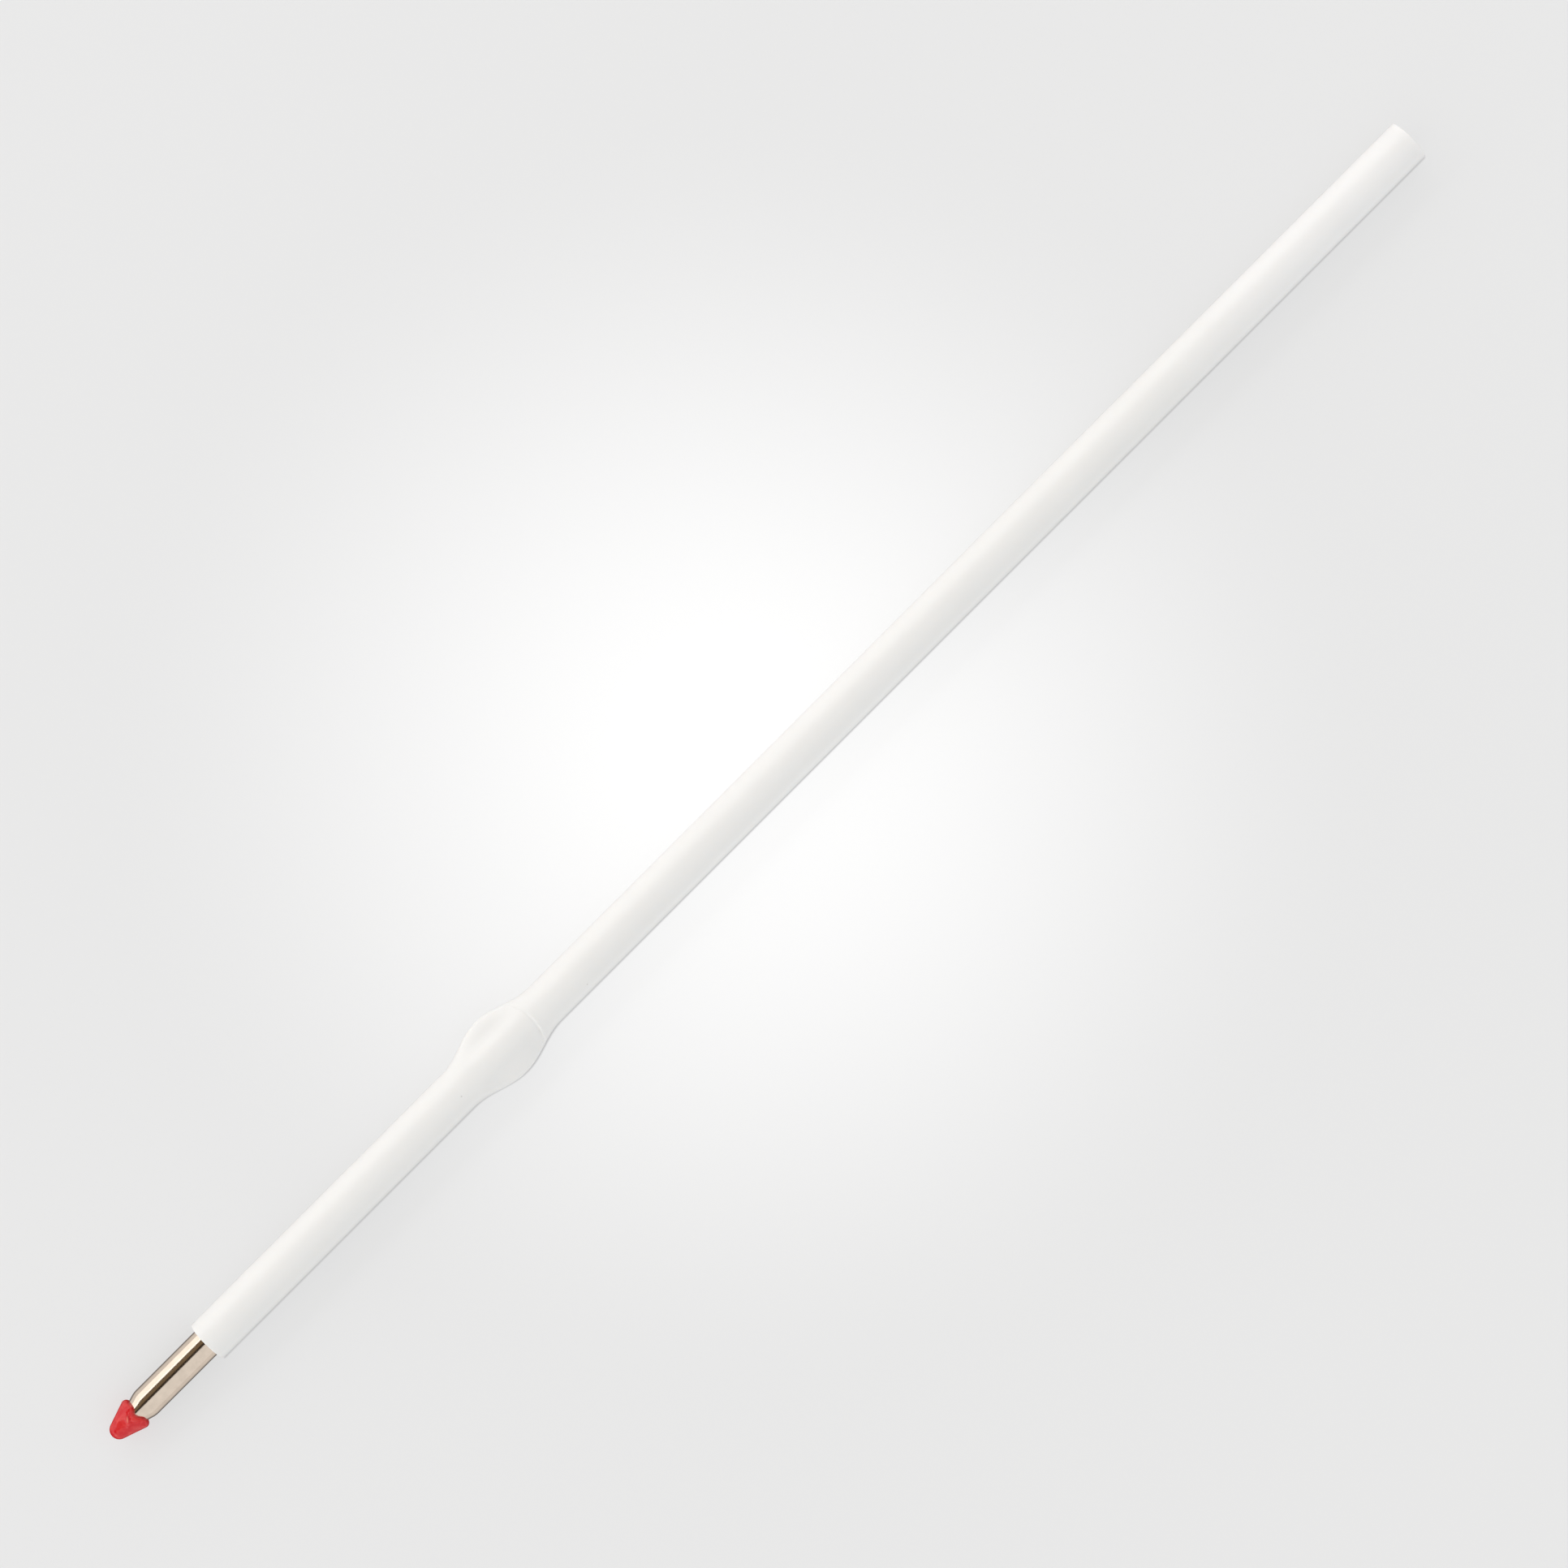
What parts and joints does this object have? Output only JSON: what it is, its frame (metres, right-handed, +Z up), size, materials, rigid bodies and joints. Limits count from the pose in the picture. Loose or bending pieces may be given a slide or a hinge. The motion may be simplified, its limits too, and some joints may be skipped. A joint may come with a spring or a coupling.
{
  "type": "ballpoint pen refill",
  "caption": "Ballpoint pen refill: straight white plastic ink tube with pressed spring ears, a turned metal writing point, and a soft red cap that protects the ball.",
  "frame": {"origin": "under the middle of the whole length, on the surface that the tube lies on", "axes": "+X from the writing point to the tail, +Y across the ears, +Z up"},
  "size_m": [0.1072, 0.0042, 0.0027],
  "materials": {
    "tube_plastic": "smooth extruded polypropylene, satin",
    "nickel_silver": "fine turned nickel silver, bright",
    "ball_carbide": "polished tungsten carbide",
    "ink": "glossy oil paste ink",
    "grease": "clear amber grease",
    "cap_wax": "soft dipped wax, satin"
  },
  "bodies": {
    "refill": {"reservoir_tube": "tube_plastic", "point_housing": "nickel_silver", "ink_column": "ink"},
    "ball": {"writing_ball": "ball_carbide"},
    "follower": {"grease_follower": "grease"},
    "cap": {"protective_cap": "cap_wax"}
  },
  "joints": [
    {"name": "ball_roll", "type": "hinge", "parent": "refill", "child": "ball", "pos_m": [-0.05285, 0, 0.00135], "axis": [0, 1, 0], "continuous": true},
    {"name": "follower_travel", "type": "slide", "parent": "refill", "child": "follower", "axis": [-1, 0, 0], "range_m": [0, 0.054], "deforming": ["ink_column"]},
    {"name": "cap_pull", "type": "slide", "parent": "refill", "child": "cap", "axis": [-1, 0, 0], "range_m": [0, 0.006]}
  ]
}
